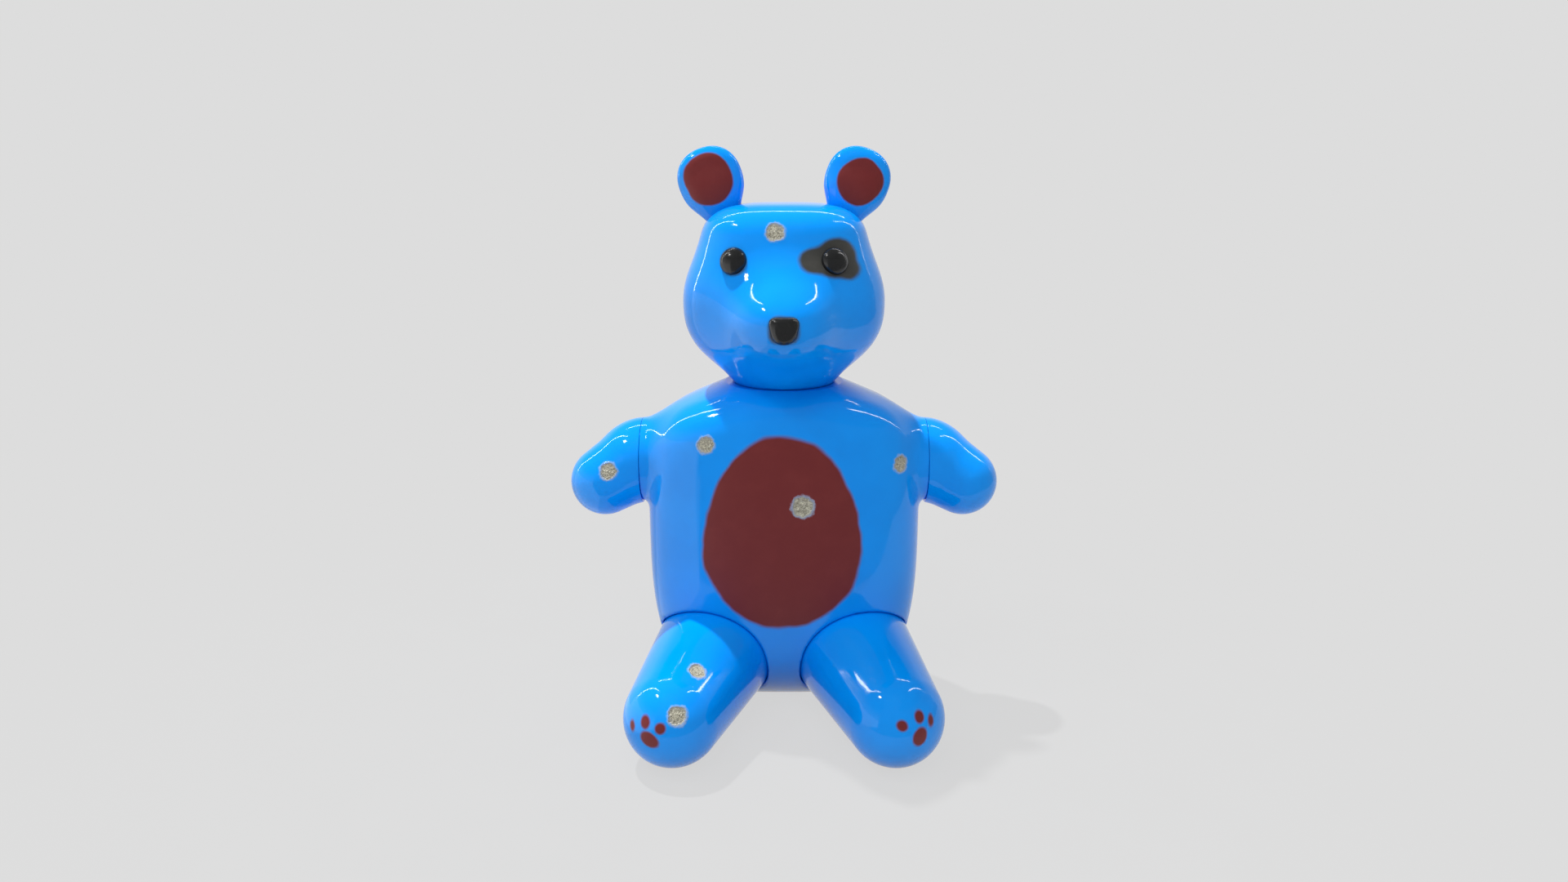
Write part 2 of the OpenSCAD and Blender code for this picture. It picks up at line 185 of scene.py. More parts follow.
def torso_hollow(p):
    q = left_half(p)
    round_wall = ball(q, hip, thigh_r + 1.5 * wall + seam_gap)
    flat_wall = -((q - hip) @ leg_axis) - hip_face - (wall + seam_gap)
    return soft_cut(torso_bulk(p) + wall, -np.maximum(round_wall, flat_wall), 5)


def arm_skin(p, shrink=0):
    upper = ball(p, shoulder, shoulder_r - shrink)
    fore = round_cone(p, arm_root, hand, shoulder_r - 1.1 - shrink, hand_r - shrink)
    return soft_union(upper, fore, 3)


def leg_skin(p, shrink=0):
    return round_cone(p, hip, foot, thigh_r - shrink, foot_r - shrink)


# %% [markdown]
# ## Head and ears as clay
#
# The head is low, wide cheeks, a narrower skull above them, a chin that runs down to the neck and a
# snout pushed out of the front, then the crown is sliced flat with a soft edge. An ear is a thick
# lens on a short stalk, leaning outwards, with its front face pressed in a little like a dish.

# %% The head
cheek_middle = np.array([0, 0, neck_seam + 27])
cheek_half = np.array([35.2, 27, 24.5])
skull_middle = np.array([0, 2, neck_seam + 40])
skull_half = np.array([29.8, 24, 30])
chin_low = np.array([0, 0, neck_seam - 2])
chin_high = np.array([0, 0, neck_seam + 14])
snout_middle = np.array([0, -25, neck_seam + 24])
snout_half = np.array([15, 17, 12])
crown = neck_seam + 62
print("cheeks", 2 * cheek_half[0], "wide, crown", crown, "above the floor")


def head_skin(p):
    q = left_half(p)
    cheeks = block(q, cheek_middle, cheek_half, 2.3)
    skull = block(q, skull_middle, skull_half, 2.5)
    chin = sausage(q, chin_low, chin_high, 16.5, 25)
    snout = block(q, snout_middle, snout_half, 2.2)
    mass = soft_union(soft_union(soft_union(cheeks, skull, 8), chin, 8), snout, 14)
    return soft_cut(mass, q[..., 2] - crown, 10)


# %% The ears
ear_lean = math.radians(20)
ear_middle = np.array([25.4, 4, crown + 7.6])
ear_up = np.array([math.sin(ear_lean), 0, math.cos(ear_lean)])
ear_across = np.array([math.cos(ear_lean), 0, -math.sin(ear_lean)])
ear_half = np.array([11.2, 4.6, 10.9])
dish_r = 26
dish_depth = 0.9
stalk_foot = np.array([0, 0, -15.0])
stalk_top = np.array([0, 0, -6.0])
stalk_half_depth = 4
print("ear middle", ear_middle.round(1), "size", (2 * ear_half).round(1))


def ear_skin(p):
    q = left_half(p) - ear_middle
    own = np.stack([q @ ear_across, q[..., 1], q @ ear_up], -1)
    lens = block(own, 0, ear_half, 2.2)
    dish = dish_r - np.linalg.norm(own + [0, ear_half[1] + dish_r - dish_depth, 0], axis=-1)
    stalk = sausage(own, stalk_foot, stalk_top, 5.5, 7)
    stalk = soft_cut(stalk, np.abs(own[..., 1]) - stalk_half_depth, 3)
    return soft_union(soft_cut(lens, dish, 1.5), stalk, 6)


# %% [markdown]
# ## From clay to a mesh
#
# A form is only a formula, so it needs a skin of faces. Remeshing a rough object would do, but it
# leaves small steps that a glossy finish shows at once. Instead a net is laid: space is cut into
# cells, each cell that the surface crosses gets one point, and points of neighbouring cells are
# joined into quads. The points are then pulled exactly onto the form and spread out evenly.

# %% Laying a net round a form
def slope_of(form, p):
    small = 0.02  # half the distance over which the slope is measured
    steps = small * np.eye(3)
    return np.stack([form(p + step) - form(p - step) for step in steps], -1) / (2 * small)


def onto(form, p, rounds=2):
    for _ in range(rounds):
        slope = slope_of(form, p)
        p = p - slope * (form(p) / np.maximum((slope * slope).sum(-1), 0.2))[..., None]
    return p


def outward(form, p):
    slope = slope_of(form, p)
    return slope / np.linalg.norm(slope, axis=-1, keepdims=True)


def lay_net(form, low, high, step):
    count = np.ceil((np.array(high) - low) / step).astype(int) + 1
    axes = [low[i] + step * np.arange(count[i]) for i in range(3)]
    inside = form(np.stack(np.meshgrid(*axes, indexing="ij"), -1)) < 0
    corners = [inside[i:count[0] - 1 + i, j:count[1] - 1 + j, k:count[2] - 1 + k]
               for i in (0, 1) for j in (0, 1) for k in (0, 1)]
    filled = np.sum(corners, axis=0)
    crossed = (filled > 0) & (filled < 8)
    number = np.full(crossed.shape, -1)
    number[crossed] = np.arange(crossed.sum())
    points = np.array(low) + step * (np.argwhere(crossed) + 0.5)
    return points, net_faces(inside, number, count)


def net_faces(inside, number, count):
    faces = []
    for a in range(3):
        b, c = (a + 1) % 3, (a + 2) % 3
        first = np.take(inside, range(count[a] - 1), axis=a)
        second = np.take(inside, range(1, count[a]), axis=a)
        at = np.argwhere(first != second)
        at = at[(at[:, b] > 0) & (at[:, b] < count[b] - 1) & (at[:, c] > 0) & (at[:, c] < count[c] - 1)]
        around = []
        for back_b, back_c in ((1, 1), (0, 1), (0, 0), (1, 0)):
            cell = at.copy()
            cell[:, b] -= back_b
            cell[:, c] -= back_c
            around.append(number[tuple(cell.T)])
        quads = np.stack(around, 1)
        inwards = ~first[tuple(at.T)]
        quads[inwards] = quads[inwards][:, ::-1]
        faces.append(quads)
    return np.concatenate(faces)


# %% Pulling the net tight
def tighten(form, points, faces, rounds=8):
    pairs = np.sort(np.concatenate([faces[:, [i, (i + 1) % 4]] for i in range(4)]), axis=1)
    edges, uses = np.unique(pairs, axis=0, return_counts=True)
    free = np.ones(len(points), bool)
    free[edges[uses == 1].ravel()] = False
    ends = np.concatenate([edges, edges[:, ::-1]])
    degree = np.bincount(ends[:, 0], minlength=len(points))[:, None]
    points = onto(form, points)
    for _ in range(rounds):
        total = np.stack([np.bincount(ends[:, 0], points[ends[:, 1], i], len(points)) for i in range(3)], 1)
        move = total / degree - points
        normal = outward(form, points)
        move -= (move * normal).sum(-1, keepdims=True) * normal
        points = onto(form, points + 0.6 * move * free[:, None], 1)
    return onto(form, points)


def skin_of(form, low, high, step, mirror=False):
    points, faces = lay_net(form, low, high, step)
    points = tighten(form, points, faces)
    if mirror:
        points = points * [-1, 1, 1]
        faces = faces[:, ::-1]
    mesh = bpy.data.meshes.new("net")
    mesh.from_pydata(points.tolist(), [], faces.tolist())
    skin = bmesh.new()
    skin.from_mesh(mesh)
    bpy.data.meshes.remove(mesh)
    return skin


# %% [markdown]
# ## Seams
#
# Where two shells meet, the real casting is cut flat with a knife and its edge is rubbed a little
# round. The net is cut at the seam, then rings of faces carry it over a small round edge, across the
# flat and to the hole for the joint. A bevel modifier would need sharp edges to be tagged first,
# and these rings give evenly placed faces at once.

# %% Cutting a skin and finding its open edges
def trim(skin, point, away):
    cut = bmesh.ops.bisect_plane(
        skin, geom=skin.verts[:] + skin.edges[:] + skin.faces[:], plane_co=point, plane_no=away,
        clear_outer=True, dist=1e-5)
    made = [part for part in cut["geom_cut"] if isinstance(part, bmesh.types.BMVert)]
    bmesh.ops.remove_doubles(skin, verts=made, dist=0.12)


def open_loops(skin):
    following = {}
    for edge in skin.edges:
        if edge.is_boundary:
            corner = edge.link_loops[0]
            following[corner.vert] = corner.link_loop_next.vert
    loops = []
    while following:
        start, here = following.popitem()
        loop = [start]
        while here is not start:
            loop.append(here)
            here = following.pop(here)
        loops.append(loop)
    return loops


def open_loop_near(skin, point):
    def apart(loop):
        return np.linalg.norm(np.mean([vert.co for vert in loop], axis=0) - point)
    return min(open_loops(skin), key=apart)


def add_ring(skin, loop, places):
    made = [skin.verts.new(place) for place in places]
    for i in range(len(loop)):
        j = (i + 1) % len(loop)
        skin.faces.new((loop[j], loop[i], made[i], made[j]))
    return made


# %% Closing a seam with a round edge, a flat and a hole
def close_seam(skin, form, seam, inset=0):
    point = seam["point"] - inset * seam["away"]
    away = seam["away"]
    edge = seam["edge"] if inset == 0 else 0
    trim(skin, point - edge * away, away)
    loop = open_loop_near(skin, point)
    start = np.array([vert.co for vert in loop], float)
    if edge:
        normal = outward(form, start)
        climb = away - (normal @ away)[:, None] * normal
        climb /= np.linalg.norm(climb, axis=1, keepdims=True)
        run = edge / np.maximum(climb @ away, 0.2)
        knee = start + climb * run[:, None]
        side = normal - (normal @ away)[:, None] * away
        side /= np.linalg.norm(side, axis=1, keepdims=True)
        end = knee - side * run[:, None]
        for t in (0.25, 0.5, 0.75, 1):
            loop = add_ring(skin, loop, (1 - t) ** 2 * start + 2 * t * (1 - t) * knee + t * t * end)
        start = end
    spokes = start - point
    if seam["hole"]:
        goal = seam["hole"] * spokes / np.linalg.norm(spokes, axis=1, keepdims=True)
        for share in (0.06, 0.35, 0.7, 0.94, 1):
            loop = add_ring(skin, loop, point + spokes + (goal - spokes) * share)
    else:
        for share in (0.04, 0.35, 0.65, 0.9):
            loop = add_ring(skin, loop, point + spokes * (1 - share))
        middle = skin.verts.new(point)
        for i, vert in enumerate(loop):
            skin.faces.new((loop[(i + 1) % len(loop)], vert, middle))


def bore_flat(skin, point, away, clear, hole):
    doomed = [face for face in skin.faces
              if (face.calc_center_median() - Vector(point)).length < clear
              and abs(face.normal.dot(Vector(away))) > 0.95]
    bmesh.ops.delete(skin, geom=doomed, context="FACES")
    loop = open_loop_near(skin, point)
    spokes = np.array([vert.co for vert in loop], float) - point
    spokes -= (spokes @ away)[:, None] * away
    goal = hole * spokes / np.linalg.norm(spokes, axis=1, keepdims=True)
    for share in (0.5, 1):
        loop = add_ring(skin, loop, point + spokes + (goal - spokes) * share)


# %% [markdown]
# ## Chips
#
# The toy has been knocked: seven small craters show the raw, crumbly vinyl under the glossy skin.
# A bump texture would leave the outline of a chip smooth, so the faces round each chip are split
# finer and truly pressed in. A number kept on each point, 2 at the broken edge and more inside,
# tells the finish later where the skin is gone.

# %% Where the chips are
chips = {
    "torso": [((-26.6, -25.3, 102.7), 2.8), ((6.4, -28.8, 81.7), 3.7), ((40.4, -20.1, 94.5), 2.9)],
    "head": [((-2.9, -20.6, 173.4), 3.0)],
    "right_arm": [((-61.8, -14.6, 90.2), 3.0)],
    "right_leg": [((-28.7, -52.9, 32.6), 2.8), ((-34.1, -68.2, 24.7), 3.1)],
}
CHIP_EDGE = 2
print("chips:", {body: len(places) for body, places in chips.items()})


# %% Knocking a chip out of a skin
def split_finer(skin, middle, reach):
    near = {vert for vert in skin.verts if (vert.co - middle).length < reach}
    edges = [edge for edge in skin.edges if edge.verts[0] in near and edge.verts[1] in near]
    bmesh.ops.subdivide_edges(skin, edges=edges, cuts=1, use_grid_fill=True)


def broken_depth(p, inside):
    distances, _ = noise.voronoi(p * 1.15)
    crack = max(0, 1 - (distances[1] - distances[0]) / 0.22)
    grain = noise.fractal(p * 1.7, 0.9, 2.1, 4)
    flank = min(1, max(0, inside) / 0.5)
    lip = 0.1 * max(0, 1 - abs(inside + 0.25) / 0.3)
    return flank * (0.42 + 0.2 * grain + 0.22 * crack) - lip


def knock_chip(skin, form, middle, radius, step, side):
    layer = skin.verts.layers.float.get("chip") or skin.verts.layers.float.new("chip")
    middle = onto(form, np.array(middle, float) * [side, 1, 1], 4) * [side, 1, 1]
    for reach in (1.75, 1.5, 1.32)[:max(1, round(math.log2(step / 0.12)))]:
        split_finer(skin, Vector(middle), radius * reach)
    near = [vert for vert in skin.verts if (vert.co - Vector(middle)).length < radius * 1.9]
    places = np.array([vert.co for vert in near], float) * [side, 1, 1]
    places = onto(form, places, 3)
    normals = outward(form, places) * [side, 1, 1]
    for vert, place, normal in zip(near, places * [side, 1, 1], normals):
        p = Vector(place)
        ragged = 0.5 * noise.noise(p * 0.55) + 0.3 * noise.noise(p * 1.6)
        inside = radius + ragged - (p - Vector(middle)).length
        vert[layer] = min(max(inside + CHIP_EDGE, 0), 2 * CHIP_EDGE)
        vert.co = p - Vector(normal) * broken_depth(p, inside)
    bmesh.ops.triangulate(skin, faces=[face for face in skin.faces if len(face.verts) > 4])


# %% [markdown]
# ## Turning a skin into a shell
#
# A cast piece is hollow with an even wall. The Solidify modifier would fold the inside over itself
# at the tight rims, so the hollow gets a coarser net of its own, one wall's thickness further in.
# It is turned inside out and joined to the outer skin by a short tube through each hole.

# %% Joining the inside to the outside
def add_hollow(skin, hollow, holes):
    bmesh.ops.reverse_faces(hollow, faces=hollow.faces[:])
    mesh = bpy.data.meshes.new("hollow")
    hollow.to_mesh(mesh)
    hollow.free()
    skin.from_mesh(mesh)
    bpy.data.meshes.remove(mesh)
    for point in holes:
        def apart(loop):
            return np.linalg.norm(np.mean([vert.co for vert in loop], axis=0) - point)
        pair = sorted(open_loops(skin), key=apart)[:2]
        edges = {skin.edges.get((loop[i - 1], loop[i])) for loop in pair for i in range(len(loop))}
        bmesh.ops.bridge_loops(skin, edges=sorted(edges, key=lambda edge: edge.index))


# %% [markdown]
# The finished mesh is scaled to metres and shaded smooth. On the glossy skin the direction of each
# point's normal comes straight from the form, so a reflection glides over the mesh as it would
# over polished vinyl. Broken and flat places keep the normals that Blender works out. In a sharp
# corner a net can touch itself along an edge; there the two sheets are parted first, and every
# finished mesh is counted for edges that don't join exactly two faces.

# %% Handing a skin to Blender
def part_shared_edges(skin):
    """Where two sheets of a net touch along an edge, each sheet gets an edge of its own."""
    for edge in [edge for edge in skin.edges if len(edge.link_faces) == 4]:
        start, end = edge.verts
        along = (end.co - start.co).normalized()
        side = along.orthogonal()
        over = along.cross(side)
        middle = (start.co + end.co) / 2
        out = {face: face.calc_center_median() - middle for face in edge.link_faces}
        turn = {face: math.atan2(way.dot(over), way.dot(side)) for face, way in out.items()}
        faces = sorted(out, key=turn.get)
        for pair in (faces[:2], faces[2:]):
            apart = (out[pair[0]] + out[pair[1]]).normalized() * 0.02
            fresh = skin.verts.new(middle + apart)
            for face in pair:
                corners = list(face.verts)
                at = corners.index(start)
                end_is_next = corners[(at + 1) % len(corners)] is end
                corners.insert(at + 1 if end_is_next else at, fresh)
                skin.faces.new(corners)
        bmesh.ops.delete(skin, geom=faces, context="FACES")


def finish_piece(skin, name, form, side=1):
    part_shared_edges(skin)
    bmesh.ops.recalc_face_normals(skin, faces=skin.faces[:])
    mesh = bpy.data.meshes.new(name)
    skin.to_mesh(mesh)
    skin.free()
    places = np.empty(len(mesh.vertices) * 3)
    mesh.vertices.foreach_get("co", places)
    places = places.reshape(-1, 3) * [side, 1, 1]
    normals = outward(form, places) * [side, 1, 1]
    rough = np.abs(form(places)) > 0.004
    if "chip" in mesh.attributes:
        broken = np.empty(len(mesh.vertices))
        mesh.attributes["chip"].data.foreach_get("value", broken)
        rough |= broken > CHIP_EDGE - 0.6
    normals[rough] = 0
    mesh.shade_smooth()
    mesh.set_sharp_from_angle(angle=math.radians(50))
    mesh.vertices.foreach_set("co", (places * [side, 1, 1] * MM).ravel())
    mesh.normals_split_custom_set_from_vertices(normals.tolist())
    mesh.update()
    piece = bpy.data.objects.new(name, mesh)
    bpy.context.scene.collection.objects.link(piece)
    triangles = sum(len(face.vertices) - 2 for face in mesh.polygons)
    print(f"{name}: {triangles} triangles, open edges {open_edges(mesh)}")
    return piece


def open_edges(mesh):
    solid = bmesh.new()
    solid.from_mesh(mesh)
    count = sum(1 for edge in solid.edges if len(edge.link_faces) != 2)
    solid.free()
    return count


# %% [markdown]
# ## The torso
#
# The torso has five openings: the neck with its wide round hole for the collar, both shoulders with
# a small hole for the joint's post, and the flat back of each hip socket with the same hole. The
# seat is only flat. Each opening is written down once and used for the outside and the inside.

# %% Seams of the torso
UP = np.array([0, 0, 1.0])
RIGHT = np.array([1.0, 0, 0])
neck_hole = 14
post_hole = 3.08
neck_edge = 0.14
shoulder_edge = 0.12
soft_edge = 0.5
seat_middle = np.array([0, 9.0, 0])
torso_seams = [
    {"point": UP * neck_seam, "away": UP, "edge": neck_edge, "hole": neck_hole},
    {"point": seat_middle, "away": -UP, "edge": soft_edge, "hole": 0},
    {"point": shoulder, "away": RIGHT, "edge": shoulder_edge, "hole": post_hole},
    {"point": shoulder * [-1, 1, 1], "away": -RIGHT, "edge": shoulder_edge, "hole": post_hole},
]
print("flat seams:", len(torso_seams), "neck hole", neck_hole, "post hole", post_hole)


def both_sides(vector):
    return vector, vector * [-1, 1, 1]


# %% Cast the torso
def cast_torso():
    step = 0.95
    skin = skin_of(torso_skin, [-53.5, -33, -2.5], [53.5, 35, 122.5], step)
    for middle, radius in chips["torso"]:
        knock_chip(skin, torso_skin, middle, radius, step, 1)
    hollow = skin_of(torso_hollow, [-52.5, -31, -1], [52.5, 33, 121], 1.9)
    holes = [UP * neck_seam, *both_sides(shoulder)]
    for seam in torso_seams:
        close_seam(skin, torso_skin, seam)
        close_seam(hollow, torso_hollow, seam, wall)
    for middle, axis in zip(both_sides(hip), both_sides(leg_axis)):
        floor = middle - axis * (hip_face + seam_gap)
        bore_flat(skin, floor, axis, 5, post_hole)
        bore_flat(hollow, floor - axis * wall, axis, 5, post_hole)
        holes.append(floor)
    add_hollow(skin, hollow, holes)
    return finish_piece(skin, "torso_vinyl", torso_skin)


torso = cast_torso()


# %% [markdown]
# ## The head and the ears
#
# The head has one opening, at the neck. The ears are cast by themselves and their stalks are
# pushed into the crown, which leaves the fine crease that runs round each ear's foot.

# %% Cast the head and the ears
def cast_head():
    step = 0.64
    neck = UP * (neck_seam + seam_shown)
    seam = {"point": neck, "away": -UP, "edge": neck_edge, "hole": neck_hole}
    skin = skin_of(head_skin, [-38, -46, 118], [38, 30, 184], step)
    for middle, radius in chips["head"]:
        knock_chip(skin, head_skin, middle, radius, step, 1)

    def hollow_form(p):
        return head_skin(p) + wall
    hollow = skin_of(hollow_form, [-36, -44, 119], [36, 28, 182], 1.7)
    close_seam(skin, head_skin, seam)
    close_seam(hollow, hollow_form, seam, wall)
    add_hollow(skin, hollow, [neck])
    return finish_piece(skin, "head_vinyl", head_skin)


def cast_ear(name, side):
    low = ear_middle - [16, 7, 22]
    skin = skin_of(ear_skin, low, ear_middle + [15, 7, 14], 0.42, mirror=side < 0)
    return finish_piece(skin, name, ear_skin, side)


head = cast_head()
left_ear = cast_ear("left_ear_vinyl", 1)
right_ear = cast_ear("right_ear_vinyl", -1)


# %% [markdown]
# ## The arms and the legs
#
# Both limbs are cast for the left side. The right one is the same net mirrored, with its faces
# turned round again so that they still look outwards. Only then are the chips knocked in, because
# the right arm and the right leg have them and the left ones don't.

# %% Cast a limb
def cast_limb(name, body, form, low, high, step, seam, side):
    mirror = side < 0
    flip = [side, 1, 1]

    def hollow_form(p):
        return form(p, wall)
    skin = skin_of(form, low, high, step, mirror)
    for middle, radius in chips.get(body, []):
        knock_chip(skin, form, middle, radius, step, side)
    hollow = skin_of(hollow_form, low, high, 2.2 * step, mirror)
    seam = {**seam, "point": seam["point"] * flip, "away": seam["away"] * flip}

    def own_side(p):
        return form(p * flip)
    close_seam(skin, own_side, seam)
    close_seam(hollow, own_side, seam, wall)
    add_hollow(skin, hollow, [seam["point"]])
    return finish_piece(skin, name, form, side)


limb_hole = 3.05
arm_end = shoulder + RIGHT * seam_shown
leg_end = hip - leg_axis * hip_face
arm_seam = {"point": arm_end, "away": -RIGHT, "edge": shoulder_edge, "hole": limb_hole}
leg_seam = {"point": leg_end, "away": -leg_axis, "edge": soft_edge, "hole": limb_hole}
limbs = {}
for body, side in (("left_arm", 1), ("right_arm", -1)):
    limbs[body] = cast_limb(f"{body}_vinyl", body, arm_skin, shoulder - [3, 17, 22],
                            shoulder + [29, 17, 17], 0.52, arm_seam, side)
for body, side in (("left_leg", 1), ("right_leg", -1)):
    limbs[body] = cast_limb(f"{body}_vinyl", body, leg_skin, hip - [24, 58, 24],
                            hip + [31, 24, 24], 0.64, leg_seam, side)


# %% [markdown]
# ## Eyes and nose
#
# The eyes are standard domed safety eyes and the nose is a bigger one of the same kind: a rounded
# trapezoid, wider on top. They are small polished buttons with a soft shoulder and a stem behind,
# so a finely netted form suits them better than a sphere, whose edge would be knife sharp.

# %% Seats of the eyes and the nose
eye_r = 4.65
eye_dome = 3.45
stem_r = 1.3
stem_length = 8
EYE_SIGHT = np.array([0, -1.0, 0])


def on_face(x, height):
    start = np.array([x, -20.0, height])
    for _ in range(30):
        start = start - EYE_SIGHT * head_skin(start[None])[0]
    return start


eye_point = on_face(16.6, neck_seam + 44)
eye_normal = outward(head_skin, eye_point)
nose_point = on_face(0, neck_seam + 24)
print("eye at", eye_point.round(2), "looking", eye_normal.round(3), "nose at", nose_point.round(2))


# %% Make the eyes
def eye_form(p):
    height = (p - eye_point) @ eye_normal
    out = np.linalg.norm(p - eye_point - height[..., None] * eye_normal, axis=-1)
    dome = (np.hypot(out / eye_r, np.maximum(height, 0) / eye_dome) - 1) * eye_dome
    button = soft_cut(dome, -height - 0.55, 0.4)
    stem = np.maximum(out - stem_r, np.abs(height + stem_length / 2 + 0.6) - stem_length / 2)
    return soft_union(button, stem, 0.5)


def make_eye(name, side):
    skin = skin_of(eye_form, eye_point - [8, 7, 8], eye_point + [7, 11, 7], 0.24, mirror=side < 0)
    return finish_piece(skin, name, eye_form, side)


left_eye = make_eye("left_eye_dome", 1)
right_eye = make_eye("right_eye_dome", -1)


# %% Make the nose
nose_half_height = 4.5
nose_top = 5.75
nose_low = 3.35
nose_bow = 11
nose_proud = 1.9


def nose_form(p):
    q = p - nose_point
    width = (nose_top + nose_low) / 2 + (nose_top - nose_low) / 2 * q[..., 2] / nose_half_height
    outline = soft_cut(np.abs(q[..., 0]) - width, np.abs(q[..., 2]) - nose_half_height, 3.4)
    front = np.linalg.norm(q - [0, nose_bow - nose_proud, 0], axis=-1) - nose_bow
    button = soft_cut(soft_cut(outline, front, 2.2), q[..., 1] - 1.5, 0.4)
    stem = np.maximum(np.hypot(q[..., 0], q[..., 2]) - stem_r, np.abs(q[..., 1] - 4.5) - 5)
    return soft_union(button, stem, 0.5)


nose_net = skin_of(nose_form, nose_point - [7, 4, 7], nose_point + [7, 11, 7], 0.22)
nose = finish_piece(nose_net, "nose_dome", nose_form)


# %% [markdown]
# ## Writing a finish as sums
#
# A procedural finish is arithmetic on places: how far a point lies inside a painted patch decides
# its colour. Wiring Math nodes one by one hides that, so a small class stands for a node's output
# and turns Python's own signs into Math nodes. Every other node comes from one method that sets
# the node's choices first and its sockets after that.

# %% Wires and nets of nodes
class Wire:
    """A node's output that can be added, multiplied and compared like a number."""

    def __init__(self, net, socket):
        self.net = net
        self.socket = socket

    def __add__(self, other):
        return self.net.math("ADD", self, other)

    def __radd__(self, other):
        return self.net.math("ADD", other, self)

    def __sub__(self, other):
        return self.net.math("SUBTRACT", self, other)

    def __rsub__(self, other):
        return self.net.math("SUBTRACT", other, self)

    def __mul__(self, other):
        return self.net.math("MULTIPLY", self, other)

    def __rmul__(self, other):
        return self.net.math("MULTIPLY", other, self)

    def __truediv__(self, other):
        return self.net.math("DIVIDE", self, other)

    def __pow__(self, power):
        return self.net.math("POWER", self, power)

    def __abs__(self):
        return self.net.math("ABSOLUTE", self)

    def smaller(self, other):
        return self.net.math("MINIMUM", self, other)

    def larger(self, other):
        return self.net.math("MAXIMUM", self, other)


class Net:
    """Adds nodes to one node tree."""

    def __init__(self, tree):
        self.tree = tree
        tree.nodes.clear()

    def node(self, kind, settings=None, sockets=None, out=None):
        made = self.tree.nodes.new(kind)
        for key, value in (settings or {}).items():
            if key == "stops":
                self.set_stops(made.color_ramp, value)
            else:
                setattr(made, key, value)
        for key, value in (sockets or {}).items():
            socket = made.inputs[key] if isinstance(key, int) else self.usable(made.inputs, key)
            if isinstance(value, Wire):
                self.tree.links.new(value.socket, socket)
            else:
                socket.default_value = value
        if not made.outputs:
            return None
        outputs = [made.outputs[0]] if out is None else [self.usable(made.outputs, name) for name in out]
        wires = [Wire(self, socket) for socket in outputs]
        return wires if len(wires) > 1 else wires[0]

    def usable(self, sockets, name):
        return next(socket for socket in sockets if socket.name == name and not socket.is_unavailable)

    def set_stops(self, ramp, stops):
        for _ in range(len(stops) - len(ramp.elements)):
            ramp.elements.new(0.5)
        for element, (place, colour) in zip(ramp.elements, stops):
            element.position = place
            element.color = (*colour, 1)

    def math(self, operation, *terms):
        return self.node("ShaderNodeMath", {"operation": operation}, dict(enumerate(terms)))

    def fade(self, value, start, end):
        sockets = {"Value": value, "From Min": start, "From Max": end}
        return self.node("ShaderNodeMapRange", {"interpolation_type": "SMOOTHSTEP"}, sockets, ["Result"])

    def mix(self, factor, first, second):
        first, second = [part if isinstance(part, Wire) else (*part, 1) for part in (first, second)]
        sockets = {"Factor": factor, "A": first, "B": second}
        return self.node("ShaderNodeMix", {"data_type": "RGBA"}, sockets, ["Result"])

    def ramp(self, value, *stops):
        return self.node("ShaderNodeValToRGB", {"stops": stops}, {"Fac": value}, ["Color"])

    def bump(self, height, strength=1.0):
        """height is in millimetres."""
        sockets = {"Strength": strength, "Distance": MM, "Height": height}
        return self.node("ShaderNodeBump", None, sockets, ["Normal"])

    def plastic(self, **sockets):
        """The whole finish; a socket's name is written with _ for a space."""
        named = {name.replace("_", " "): value for name, value in sockets.items()}
        return self.node("ShaderNodeBsdfPrincipled", None, named)

    def light(self, grey):
        return self.node("ShaderNodeEmission", None, {"Color": (grey, grey, grey, 1), "Strength": 1.0})


# %% [markdown]
# The places come from Object coordinates, which stay with a piece when its joint turns. They are in
# metres, so they are turned into millimetres once, and every size in a finish is then a real one.

# %% Places and noises on a piece
def places_on(net):
    spot = net.node("ShaderNodeTexCoord", out=["Object"])
    axes = net.node("ShaderNodeSeparateXYZ", None, {"Vector": spot}, out=["X", "Y", "Z"])
    return spot, [axis * (1 / MM) for axis in axes]


def cloud(net, spot, size, detail=2, roughness=0.5, distortion=0.0):
    sockets = {"Vector": spot, "Scale": 1 / (size * MM), "Detail": detail, "Roughness": roughness,
               "Distortion": distortion}
    return net.node("ShaderNodeTexNoise", None, sockets, out=["Fac"])


def new_material(name):
    material = bpy.data.materials.new(name)
    material.use_nodes = True
    return material, Net(material.node_tree)


def finish_with(net, shader):
    net.node("ShaderNodeOutputMaterial", None, {"Surface": shader})


# %% [markdown]
# ## Painted patches
#
# The patches are sprayed through masks, so their edges are a little soft and never quite true. Each
# one is an oval measured in the plane that it was sprayed from, with a slow noise pushing its edge
# in and out. The answer is 1 well inside the paint and 0 outside.

# %% Sprayed ovals
def oval(net, across, up, middle, half, tilt=0.0, square=2.0):
    dx = across - middle[0]
    dz = up - middle[1]
    turned_x = dx * math.cos(tilt) + dz * math.sin(tilt)
    turned_z = dz * math.cos(tilt) - dx * math.sin(tilt)
    shape = (abs(turned_x) / half[0]) ** square + (abs(turned_z) / half[1]) ** square
    return (shape ** (1 / square) - 1) * min(half)


def sprayed(net, distance, wobble, depth, soft):
    ragged = distance + (wobble - 0.5) * depth
    return net.fade(ragged, soft / 2, -soft / 2)


def join_softly(net, a, b, blend):
    return net.node("ShaderNodeMath", {"operation": "SMOOTH_MIN"}, {0: a, 1: b, 2: blend})


# %% [markdown]
# The big belly patch is an egg with its narrow end up. The patch round the left eye is three blots
# run together. The ears are painted inside their rims. The paws have one pad and three toes, each
# an oval lying on the round foot, so it is measured along the foot's own skin.

